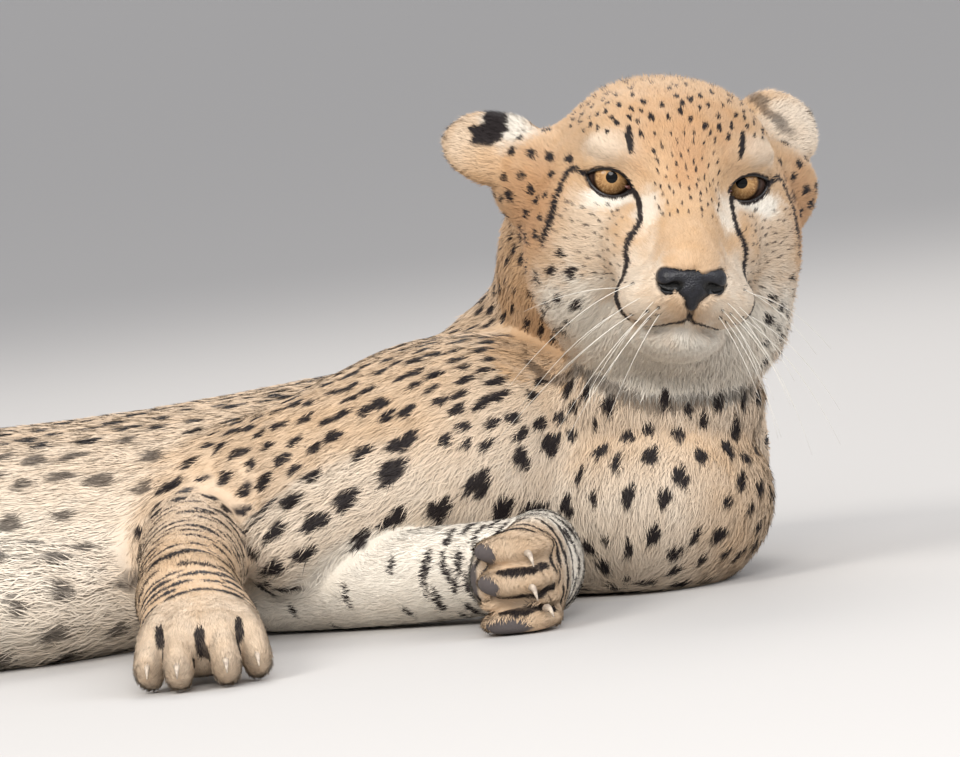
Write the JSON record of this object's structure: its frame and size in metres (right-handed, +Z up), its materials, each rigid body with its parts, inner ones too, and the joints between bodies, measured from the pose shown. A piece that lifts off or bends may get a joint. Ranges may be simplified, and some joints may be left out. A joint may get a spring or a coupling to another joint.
{
  "type": "cheetah, lying",
  "caption": "Life-size still cheetah lying on its left side, head raised and turned to the front.",
  "frame": {"origin": "centre of the bounding box at floor level", "axes": "+X to the head end, +Y to the back of the animal, +Z up"},
  "size_m": [1.4138, 0.7892, 0.2721],
  "materials": {
    "coat": "short golden fur with black spots, cream below",
    "nose": "dark grained nose leather",
    "eye": "amber iris under a clear wet cornea"
  },
  "bodies": {
    "root": {"belly": "coat", "chest": "coat", "ear_left": "coat", "ear_right": "coat", "eye_left": "eye", "eye_right": "eye", "head": "coat", "left_forearm": "coat", "left_forepaw": "coat", "left_hindfoot": "coat", "left_shank": "coat", "left_thigh": "coat", "left_upper_arm": "coat", "neck": "coat", "nose": "nose", "right_forearm": "coat", "right_forepaw": "coat", "right_hindfoot": "coat", "right_shank": "coat", "right_thigh": "coat", "right_upper_arm": "coat", "rump": "coat", "tail_base": "coat", "tail_middle": "coat", "tail_tip": "coat"}
  },
  "joints": []
}
